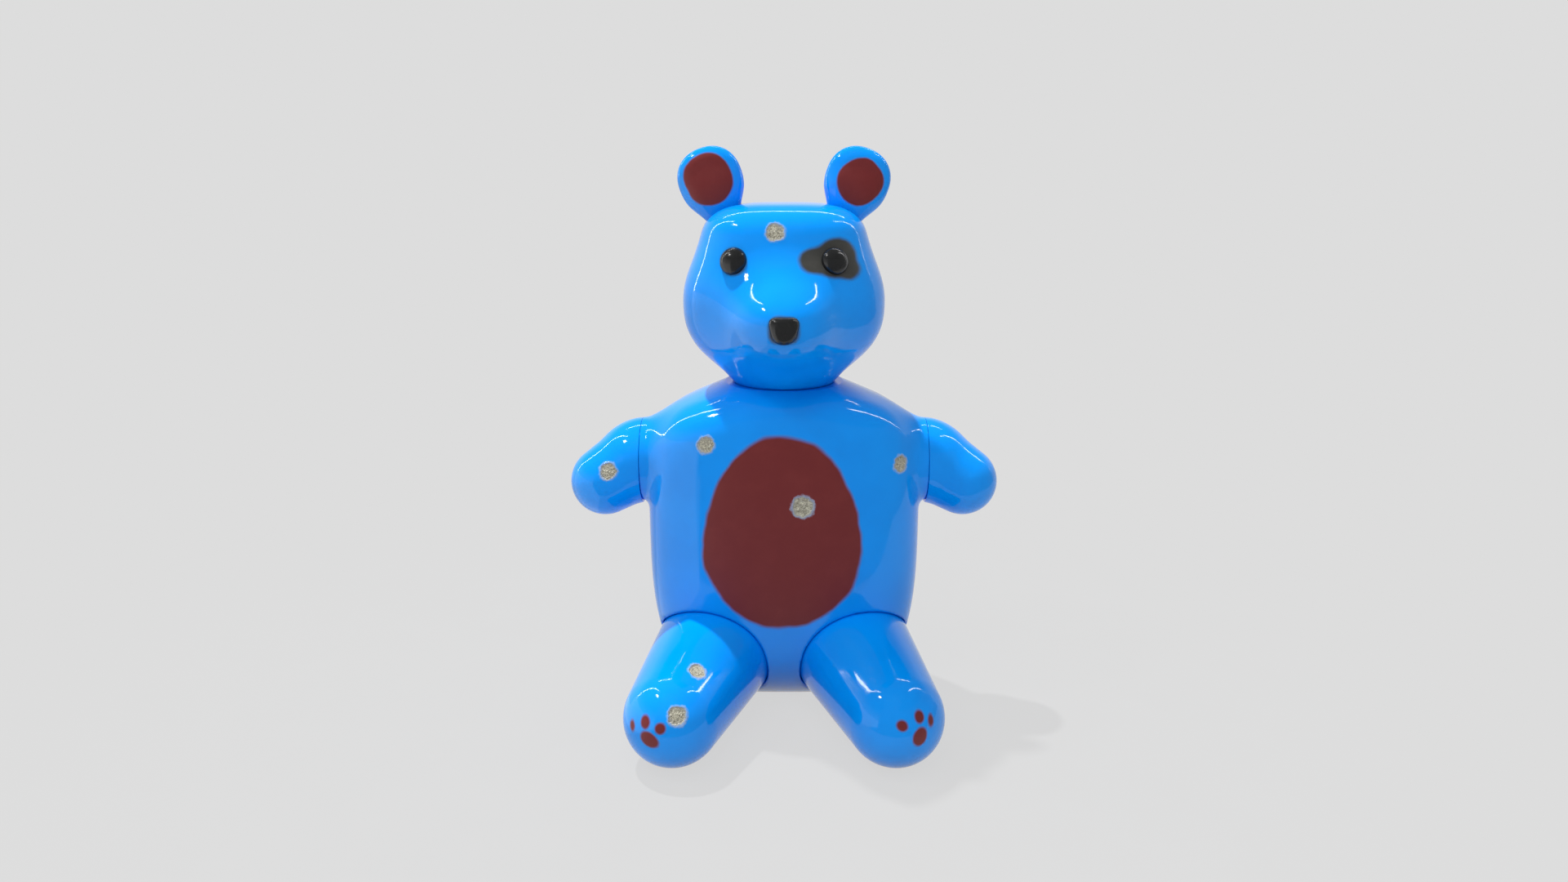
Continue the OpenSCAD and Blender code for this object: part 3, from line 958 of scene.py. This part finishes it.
# %% Masks of the painted patches
def belly_paint(net, spot, x, y, z):
    narrowing = 1.03 - 0.16 * net.fade(z, 42, 104)
    egg = oval(net, x / narrowing, z, (-0.7, 71.6), (28.4, 34.6), square=2.12)
    mask = sprayed(net, egg, cloud(net, spot, 14), 3.0, 1.8)
    return mask * net.fade(y, -6, -9)


def eye_paint(net, spot, x, y, z):
    around = oval(net, x, z, (17.2, 165.0), (6.9, 6.4))
    tail = oval(net, x, z, (10.5, 164.5), (5.7, 4.1), tilt=0.05)
    corner = oval(net, x, z, (20.6, 162.0), (5.0, 3.6), tilt=-0.5)
    blot = join_softly(net, join_softly(net, around, tail, 2.5), corner, 1.6)
    for middle in ((16.6, 164), (-16.6, 164)):
        blot = blot.smaller(oval(net, x, z, middle, (4.2, 4.2)))
    blot = blot.smaller(oval(net, x, z, (0, 144.3), (4.9, 4.3), square=3))
    return sprayed(net, blot, cloud(net, spot, 5), 0.8, 1.7) * net.fade(y, -6, -9)


def ear_paint(net, spot, x, y, z, side):
    if side > 0:
        dish = oval(net, x, z, (26.0, 188.9), (7.9, 7.6), tilt=0.7, square=2.3)
    else:
        dish = oval(net, x, z, (-25.8, 189.7), (8.2, 8.7), tilt=0.5, square=2.3)
    return sprayed(net, dish, cloud(net, spot, 7), 1.0, 0.9) * net.fade(y, 3.4, 2.8)


paws = {
    "left": {"across": (0.917, 0.399), "marks": [
        ((43.6, -69.2, 17.8), (2.6, 3.2), -0.35), ((37.7, -69.6, 22.0), (1.75, 1.75), 0),
        ((43.3, -67.4, 24.0), (1.75, 1.95), 0), ((47.3, -66.0, 21.9), (1.25, 1.95), 0)]},
    "right": {"across": (0.917, -0.399), "marks": [
        ((-43.2, -69.4, 16.9), (3.5, 2.6), -0.45), ((-49.0, -65.0, 19.6), (1.2, 1.9), 0),
        ((-44.4, -67.5, 22.3), (1.75, 2.2), 0), ((-39.4, -69.6, 21.0), (1.8, 1.85), 0)]},
}


def paw_paint(net, spot, x, y, z, side):
    paw = paws["left" if side > 0 else "right"]
    cos, sin = paw["across"]
    along = x * cos + y * sin
    print_edge = None
    for (px, py, pz), half, tilt in paw["marks"]:
        mark = oval(net, along, z, (px * cos + py * sin, pz), half, tilt)
        print_edge = mark if print_edge is None else print_edge.smaller(mark)
    return sprayed(net, print_edge, cloud(net, spot, 3), 0.4, 1.1) * net.fade(y, -50, -54)


# %% [markdown]
# ## The blue vinyl
#
# The vinyl is cast in colour and gets a thick clear gloss, so its colour is even, with only a slow
# drift where the gloss pooled, and its shine is sharp but rides over gentle waves. Paint lies on
# top with a satin sheen and a tiny step at its edge. In a chip both are gone: the raw core is grey
# and cream, full of dark pits, and the vinyl round it has turned pale from the blow.

# %% Colours of the toy, and how rough its surfaces are
BLUE = (0.0, 0.318, 1.0)
BLUE_DEEP = (0.0, 0.285, 0.93)
STRESSED = (0.36, 0.47, 0.66)
BRUISED = (0.46, 0.46, 0.43)
RED = (0.172, 0.013, 0.014)
RED_WORN = (0.192, 0.018, 0.018)
SOOT = (0.042, 0.042, 0.038)
SOOT_WORN = (0.06, 0.058, 0.052)
PIT = (0.15, 0.13, 0.09)
CORE = (0.42, 0.40, 0.32)
CREAM = (0.80, 0.78, 0.64)
GLOSS_ROUGH = 0.06
PAINT_ADDS = 0.42
RAW_ROUGH = 0.85


# %% Make a vinyl finish
def vinyl(name, paint=None, colours=(RED, RED_WORN), **options):
    material, net = new_material(name)
    spot, (x, y, z) = places_on(net)
    drift = cloud(net, spot, 24, 3)
    blue = net.mix(net.fade(drift, 0.35, 0.75), BLUE, BLUE_DEEP)
    painted = paint(net, spot, x, y, z, **options) if paint else 0.0
    worn = cloud(net, spot, 9, 5, 0.65)
    coloured = net.mix(painted, blue, net.mix(net.fade(worn, 0.4, 0.8), *colours)) if paint else blue
    chip = net.node("ShaderNodeAttribute", {"attribute_name": "chip"}, out=["Fac"]) - CHIP_EDGE
    pits = cloud(net, spot, 0.8, 4, 0.75)
    grain = cloud(net, spot, 0.3, 3, 0.7)
    flaked = chip + (pits - 0.5) * 0.9
    broken = net.fade(flaked, -0.1, 0.25)
    heart = net.fade(flaked, 0.1, 1.0)
    pale = net.fade(chip, -1.0, 0.1) * 0.85
    rim = net.mix(pale, coloured, STRESSED)
    core = net.ramp(pits * 0.6 + grain * 0.4, (0.36, PIT), (0.47, CORE), (0.6, CREAM))
    colour = net.mix(broken, rim, net.mix(heart, BRUISED, core))
    smudge = net.fade(cloud(net, spot, 6, 4, 0.6), 0.45, 0.8)
    gloss = GLOSS_ROUGH + smudge * 0.03 + painted * PAINT_ADDS
    rough = gloss * (1 - broken) + broken * RAW_ROUGH
    wave = cloud(net, spot, 16, 1) * 0.024
    peel = cloud(net, spot, 4, 1) * 0.001
    film = painted * 0.02
    relief = wave + peel + film + broken * (pits * 0.25 + grain * 0.12)
    finish_with(net, net.plastic(Base_Color=colour, Roughness=rough, Normal=net.bump(relief), IOR=1.46))
    return material


# %% [markdown]
# ## Black trim and plain fittings
#
# Eyes and nose are moulded in black and tumbled smooth. Their shine is a little broader than the
# vinyl's, with fine dust lines from handling. The joint fittings are hidden inside the toy; they
# are plain injection mouldings, so they get a matt grain, faint flow marks and a warm or grey white.

# %% Make the trim and the fittings
def black_trim():
    material, net = new_material("black_trim")
    spot, _ = places_on(net)
    dust = net.fade(cloud(net, spot, 1.4, 6, 0.7, 0.6), 0.5, 0.85)
    colour = net.mix(dust * 0.6, (0.010, 0.0105, 0.011), (0.03, 0.028, 0.026))
    rough = 0.2 + dust * 0.16
    bump = net.bump(cloud(net, spot, 1.1, 3) * 0.012, 0.5)
    finish_with(net, net.plastic(Base_Color=colour, Roughness=rough, Normal=bump, IOR=1.5))
    return material


def moulded_plastic(name, light, dark):
    material, net = new_material(name)
    spot, _ = places_on(net)
    flow = net.fade(cloud(net, spot, 5, 3, 0.6, 2.0), 0.35, 0.7)
    grain = cloud(net, spot, 0.25, 2)
    colour = net.mix(flow, light, dark)
    rough = 0.42 + grain * 0.2
    bump = net.bump(grain * 0.02, 0.6)
    finish_with(net, net.plastic(Base_Color=colour, Roughness=rough, Normal=bump, IOR=1.48))
    return material


def crumb_finish():
    material, net = new_material("chip_crumb")
    spot, _ = places_on(net)
    speck = cloud(net, spot, 0.45, 4, 0.7)
    colour = net.ramp(speck, (0.32, PIT), (0.48, CORE), (0.62, CREAM))
    bump = net.bump(speck * 0.06, 0.8)
    finish_with(net, net.plastic(Base_Color=colour, Roughness=RAW_ROUGH, Normal=bump))
    return material


# %% Dress the shells
def dress(piece, body, node, material):
    piece.data.materials.append(material)
    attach(piece, body)
    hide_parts(node)


plain_blue = vinyl("blue_vinyl")
shells = [
    (torso, "torso", "torso_shell", vinyl("torso_vinyl_and_belly", belly_paint)),
    (head, "head", "head_shell", vinyl("head_vinyl_and_eye", eye_paint, (SOOT, SOOT_WORN))),
    (left_ear, "head", "left_ear", vinyl("left_ear_vinyl_and_dish", ear_paint, side=1)),
    (right_ear, "head", "right_ear", vinyl("right_ear_vinyl_and_dish", ear_paint, side=-1)),
    (limbs["left_arm"], "left_arm", "left_arm_shell", plain_blue),
    (limbs["right_arm"], "right_arm", "right_arm_shell", plain_blue),
    (limbs["left_leg"], "left_leg", "left_leg_shell", vinyl("left_leg_vinyl_and_paw", paw_paint, side=1)),
    (limbs["right_leg"], "right_leg", "right_leg_shell",
     vinyl("right_leg_vinyl_and_paw", paw_paint, side=-1)),
]
for piece, body, node, material in shells:
    dress(piece, body, node, material)
trim = black_trim()
for piece, node in ((left_eye, "left_eye"), (right_eye, "right_eye"), (nose, "nose")):
    dress(piece, "head", node, trim)
print("dressed:", len(shells), "shells and three black pieces")


# %% Finish the hidden fittings of the frame
slots = {part["node"]: part["material_slot"] for part in frame["record"]["subparts"]}
plastics = {
    "fitting_white": moulded_plastic("natural_nylon", (0.78, 0.76, 0.7), (0.66, 0.63, 0.56)),
    "washer_grey": moulded_plastic("grey_washer", (0.34, 0.36, 0.38), (0.27, 0.29, 0.31)),
}
for node_name, node in frame["nodes"].items():
    if slots[node_name] in plastics:
        for material_slot in node.material_slots:
            material_slot.link = "OBJECT"
            material_slot.material = plastics[slots[node_name]]
print("finishes:", [material.name for material in bpy.data.materials if material.users])


# %% [markdown]
# ## Crumbs in the chips
#
# Broken vinyl is crumbly. Hundreds of tiny splinters sit in the craters, far too many to place by
# hand, and they follow the broken surface, which is what Geometry Nodes are for. The tree scatters
# points where the chip number says that the skin is gone, puts a small angular crumb on each, turns
# and scales it by chance with a fixed seed, and makes the result real.

# %% The tree that scatters crumbs
CRUMBS_PER_SQUARE_METRE = 2.2e6
CRUMB_RADIUS = 0.2 * MM
CRUMB_FACES = 20  # an icosphere that isn't divided further


def crumb_tree():
    tree = bpy.data.node_groups.new("chip_crumbs", "GeometryNodeTree")
    tree.interface.new_socket("Geometry", in_out="INPUT", socket_type="NodeSocketGeometry")
    for name, kind in (("Crumbs per square metre", "Float"), ("Crumb radius", "Float"), ("Seed", "Int")):
        tree.interface.new_socket(name, in_out="INPUT", socket_type=f"NodeSocket{kind}")
    tree.interface.new_socket("Finish", in_out="INPUT", socket_type="NodeSocketMaterial")
    tree.interface.new_socket("Geometry", in_out="OUTPUT", socket_type="NodeSocketGeometry")
    net = Net(tree)
    shell, density, radius, seed, finish = net.node("NodeGroupInput", out=[
        "Geometry", "Crumbs per square metre", "Crumb radius", "Seed", "Finish"])
    chip = net.node("GeometryNodeInputNamedAttribute", {"data_type": "FLOAT"}, {"Name": "chip"},
                    ["Attribute"])
    well_inside = net.math("GREATER_THAN", chip, CHIP_EDGE + 0.35)
    points = net.node("GeometryNodeDistributePointsOnFaces", {"distribute_method": "RANDOM"}, {
        "Mesh": shell, "Density": density * well_inside, "Seed": seed})
    crumb = net.node("GeometryNodeMeshIcoSphere", None, {"Radius": radius, "Subdivisions": 1})
    turn = net.node("FunctionNodeRandomValue", {"data_type": "FLOAT_VECTOR"}, {
        0: (0, 0, 0), 1: (math.tau, math.tau, math.tau), "Seed": seed})
    size = net.node("FunctionNodeRandomValue", {"data_type": "FLOAT_VECTOR"}, {
        0: (0.5, 0.4, 0.3), 1: (1.6, 1.2, 0.8), "Seed": seed})
    scattered = net.node("GeometryNodeInstanceOnPoints", None, {
        "Points": points, "Instance": crumb, "Rotation": turn, "Scale": size})
    real = net.node("GeometryNodeRealizeInstances", None, {"Geometry": scattered})
    dressed = net.node("GeometryNodeSetMaterial", None, {"Geometry": real, "Material": finish})
    net.node("NodeGroupOutput", None, {"Geometry": dressed})
    return tree


# %% Scatter crumbs over one shell
def scatter_crumbs(tree, shell, name, body, seed, finish):
    helper = bpy.data.objects.new("crumb_helper", shell.data)
    bpy.context.scene.collection.objects.link(helper)
    scatter = helper.modifiers.new("crumbs", "NODES")
    scatter.node_group = tree
    named = {item.name: item.identifier for item in tree.interface.items_tree if item.in_out == "INPUT"}
    scatter[named["Crumbs per square metre"]] = CRUMBS_PER_SQUARE_METRE
    scatter[named["Crumb radius"]] = CRUMB_RADIUS
    scatter[named["Seed"]] = seed
    scatter[named["Finish"]] = finish
    evaluated = helper.evaluated_get(bpy.context.evaluated_depsgraph_get())
    mesh = bpy.data.meshes.new_from_object(evaluated)
    mesh.name = name
    bpy.data.objects.remove(helper)
    piece = bpy.data.objects.new(name, mesh)
    bpy.context.scene.collection.objects.link(piece)
    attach(piece, body)
    print(f"{name}: {len(mesh.polygons) // CRUMB_FACES} crumbs")


tree = crumb_tree()
crumb = crumb_finish()
chipped = [(torso, "torso", 3), (head, "head", 5), (limbs["right_arm"], "right_arm", 7),
           (limbs["right_leg"], "right_leg", 11)]
for shell, body, seed in chipped:
    scatter_crumbs(tree, shell, f"{body}_chip_crumbs", body, seed, crumb)


# %% [markdown]
# ## Floor and surroundings
#
# The toy sits on a pale floor without an edge. Anything that looks at it, the camera or a glossy
# skin, sees one even grey, and a share of the real sheet is left in near the toy so that its soft
# shadow stays. The surroundings are as pale at the horizon and dim overhead.

# %% The floor
BACKDROP = 0.723
FLOOR_RADIUS = 30


def sees(net):
    """1 for the rays of the camera and of shiny or clear surfaces, 0 for the light itself."""
    seen, mirrored, through = net.node("ShaderNodeLightPath", out=[
        "Is Camera Ray", "Is Glossy Ray", "Is Transmission Ray"])
    return seen.larger(mirrored).larger(through)


def make_floor():
    mesh = bpy.data.meshes.new("floor")
    rim = bmesh.new()
    bmesh.ops.create_circle(rim, cap_ends=True, segments=96, radius=FLOOR_RADIUS)
    rim.to_mesh(mesh)
    rim.free()
    floor = bpy.data.objects.new("floor", mesh)
    floor.location.z = -0.1 * MM
    bpy.context.scene.collection.objects.link(floor)
    material, net = new_material("pale_floor")
    spot, (x, y, _) = places_on(net)
    away = (x ** 2 + y ** 2) ** 0.5
    even = net.fade(away, 110, 330) * 0.13 + 0.87
    paper = net.mix(cloud(net, spot, 30, 3), (0.42, 0.42, 0.42), (0.47, 0.47, 0.47))
    sheet = net.node("ShaderNodeBsdfPrincipled", None, {
        "Base Color": paper, "Roughness": 0.9, "Specular IOR Level": 0.1})
    glow = net.light(BACKDROP)
    finish_with(net, net.node("ShaderNodeMixShader", None, {0: sees(net) * even, 1: sheet, 2: glow}))
    floor.data.materials.append(material)
    print("floor:", 2 * FLOOR_RADIUS, "metres across")


make_floor()


# %% The surroundings
def make_surroundings():
    world = bpy.data.worlds.new("studio")
    world.use_nodes = True
    bpy.context.scene.world = world
    net = Net(world.node_tree)
    direction = net.node("ShaderNodeTexCoord", out=["Generated"])
    height = net.node("ShaderNodeSeparateXYZ", None, {"Vector": direction}, out=["Z"])
    shown = net.mix(net.fade(height, 0.2, 0.6), (BACKDROP, BACKDROP, BACKDROP), (0.2, 0.2, 0.2))
    fill = net.node("ShaderNodeBackground", None, {"Color": (0.98, 0.99, 1.0, 1), "Strength": 0.39})
    view = net.node("ShaderNodeBackground", None, {"Color": shown, "Strength": 1.0})
    net.node("ShaderNodeOutputWorld", None, {
        "Surface": net.node("ShaderNodeMixShader", None, {0: sees(net), 1: fill, 2: view})})
    print("surroundings:", world.name)


make_surroundings()


# %% [markdown]
# ## Cards for the shine
#
# A mirror-like skin shows whatever stands round it, so its look is made with cards, as in a studio.
# A dark card lies in front of the toy and a dark screen curves round it from the front to one side,
# which keeps the blue deep. A bright screen on the other side makes the long pale reflection down
# the body. Three thin, very bright ribbons, one high on each side and one behind, draw the fine
# white lines on the gloss. The cards only show in the shine: they neither light nor shade.

# %% Cut a card and bend it
def make_card(name, corners, grey):
    mesh = bpy.data.meshes.new(name)
    width = len(corners) // 2
    faces = [(i, i + 1, width + i + 1, width + i) for i in range(width - 1)]
    mesh.from_pydata(corners, [], faces)
    card = bpy.data.objects.new(name, mesh)
    bpy.context.scene.collection.objects.link(card)
    card.visible_camera = False
    card.visible_diffuse = False
    card.visible_transmission = False
    card.visible_shadow = False
    material, net = new_material(name)
    finish_with(net, net.light(grey))
    mesh.materials.append(material)
    print(f"{name}: {len(faces)} faces, brightness {grey}")


def upright(foot_line, height):
    return [(x, y, 0) for x, y in foot_line] + [(x, y, height) for x, y in foot_line]


def flat(near_line, far_line):
    return [(x, y, 0.4 * MM) for x, y in [*near_line, *far_line]]


def bow(radius, start, end, count=24):
    turns = [math.radians(start + (end - start) * i / count) for i in range(count + 1)]
    return [(radius * math.sin(turn), -radius * math.cos(turn)) for turn in turns]


def ribbon(path, across):
    return [*path, *[tuple(Vector(place) + Vector(across)) for place in path]]


# %% Stand the cards and the ribbons
DARK = 0.3
BRIGHT = 1.2
SHINE = 20
dark_table = flat([(-0.1, -0.125), (0.25, -0.125), (0.9, 0.45)], [(-0.6, -0.9), (0.3, -1.2), (1.0, -0.6)])
bright_table = flat([(-0.09, -0.11), (-0.09, 0.03)], [(-0.6, -0.76), (-0.6, 0.25)])
side_path = [(0.46, 0.0, 0.90), (0.56, 0.16, 0.82), (0.66, 0.26, 0.66), (0.78, 0.3, 0.45), (0.83, 0.3, 0.1)]
back_path = [(-0.46, 0.4, 0.76), (-0.16, 0.42, 0.84), (0.16, 0.42, 0.84), (0.46, 0.4, 0.76)]
make_card("dark_screen", upright(bow(0.62, -37, 110), 0.5), DARK)
make_card("dark_table_card", dark_table, DARK)
make_card("bright_screen", upright([(-0.6, -0.76), (-0.6, 0.25)], 0.2), BRIGHT)
make_card("bright_table_card", bright_table, BRIGHT)
for name, side in (("left_ribbon", -1), ("right_ribbon", 1)):
    path = [(side * x, y, z) for x, y, z in side_path]
    make_card(name, ribbon(path, (side * 0.024, -0.012, 0)), SHINE)
make_card("back_ribbon", ribbon(back_path, (0, 0.026, 0.01)), SHINE)


# %% [markdown]
# ## The lamps
#
# One hard key light comes from high up and a little behind one side, so the crown, the muzzle, one
# shoulder and one leg are lit and the rest lies in the toy's own shade. A broad soft lamp in front
# fills that shade. Neither shows in the shine, where the cards do their work. A small bright lamp
# adds little light but draws the white spots on the gloss.

# %% Hang the lamps
def hang(name, lamp, place, target):
    holder = bpy.data.objects.new(name, lamp)
    bpy.context.scene.collection.objects.link(holder)
    holder.location = place
    holder.rotation_euler = (Vector(target) - Vector(place)).to_track_quat("-Z", "Y").to_euler()
    holder.visible_camera = False
    print(f"{name}: {lamp.type.lower()} lamp at {place}")
    return holder


TOY_MIDDLE = (0, 0, 0.1)


def area_lamp(name, place, width, height, glow):
    """glow is how bright the lamp's face looks, 1 being white; its power follows from its size."""
    lamp = bpy.data.lights.new(name, "AREA")
    lamp.shape = "RECTANGLE"
    lamp.size = width
    lamp.size_y = height
    lamp.energy = glow * math.pi * width * height
    return hang(name, lamp, place, TOY_MIDDLE)


key = bpy.data.lights.new("key", "SUN")
key.energy = 1.05 * math.pi
key.angle = math.radians(2)
hang("key", key, (-0.28, 0.25, 1.1), TOY_MIDDLE).visible_glossy = False
front_fill = area_lamp("front_fill", (-0.15, -0.65, 1.1), 0.8, 0.8, 2.7)
front_fill.visible_glossy = False
area_lamp("spot", (-0.56, -0.2, 0.9), 0.13, 0.06, 40)


# %% [markdown]
# ## The camera
#
# The toy is looked at from the front, fifteen degrees above the floor, through a fairly wide lens
# held close, which is what makes the feet look a little larger than the head.

# %% Place the camera
camera_data = bpy.data.cameras.new("camera")
camera_data.lens = 24.44
camera_data.sensor_width = 36
camera = bpy.data.objects.new("camera", camera_data)
bpy.context.scene.collection.objects.link(camera)
looked_at = Vector((0, -0.010, 0.100))
camera_rise = math.radians(15)
camera_distance = 0.3764
backwards = Vector((0, -math.cos(camera_rise), math.sin(camera_rise)))
camera.location = looked_at + camera_distance * backwards
camera.rotation_euler = (math.pi / 2 - camera_rise, 0, 0)
camera_data.clip_start = 0.01
bpy.context.scene.camera = camera
bpy.context.scene.view_settings.view_transform = "Standard"
print("camera at", [round(place, 3) for place in camera.location], "lens", camera_data.lens)
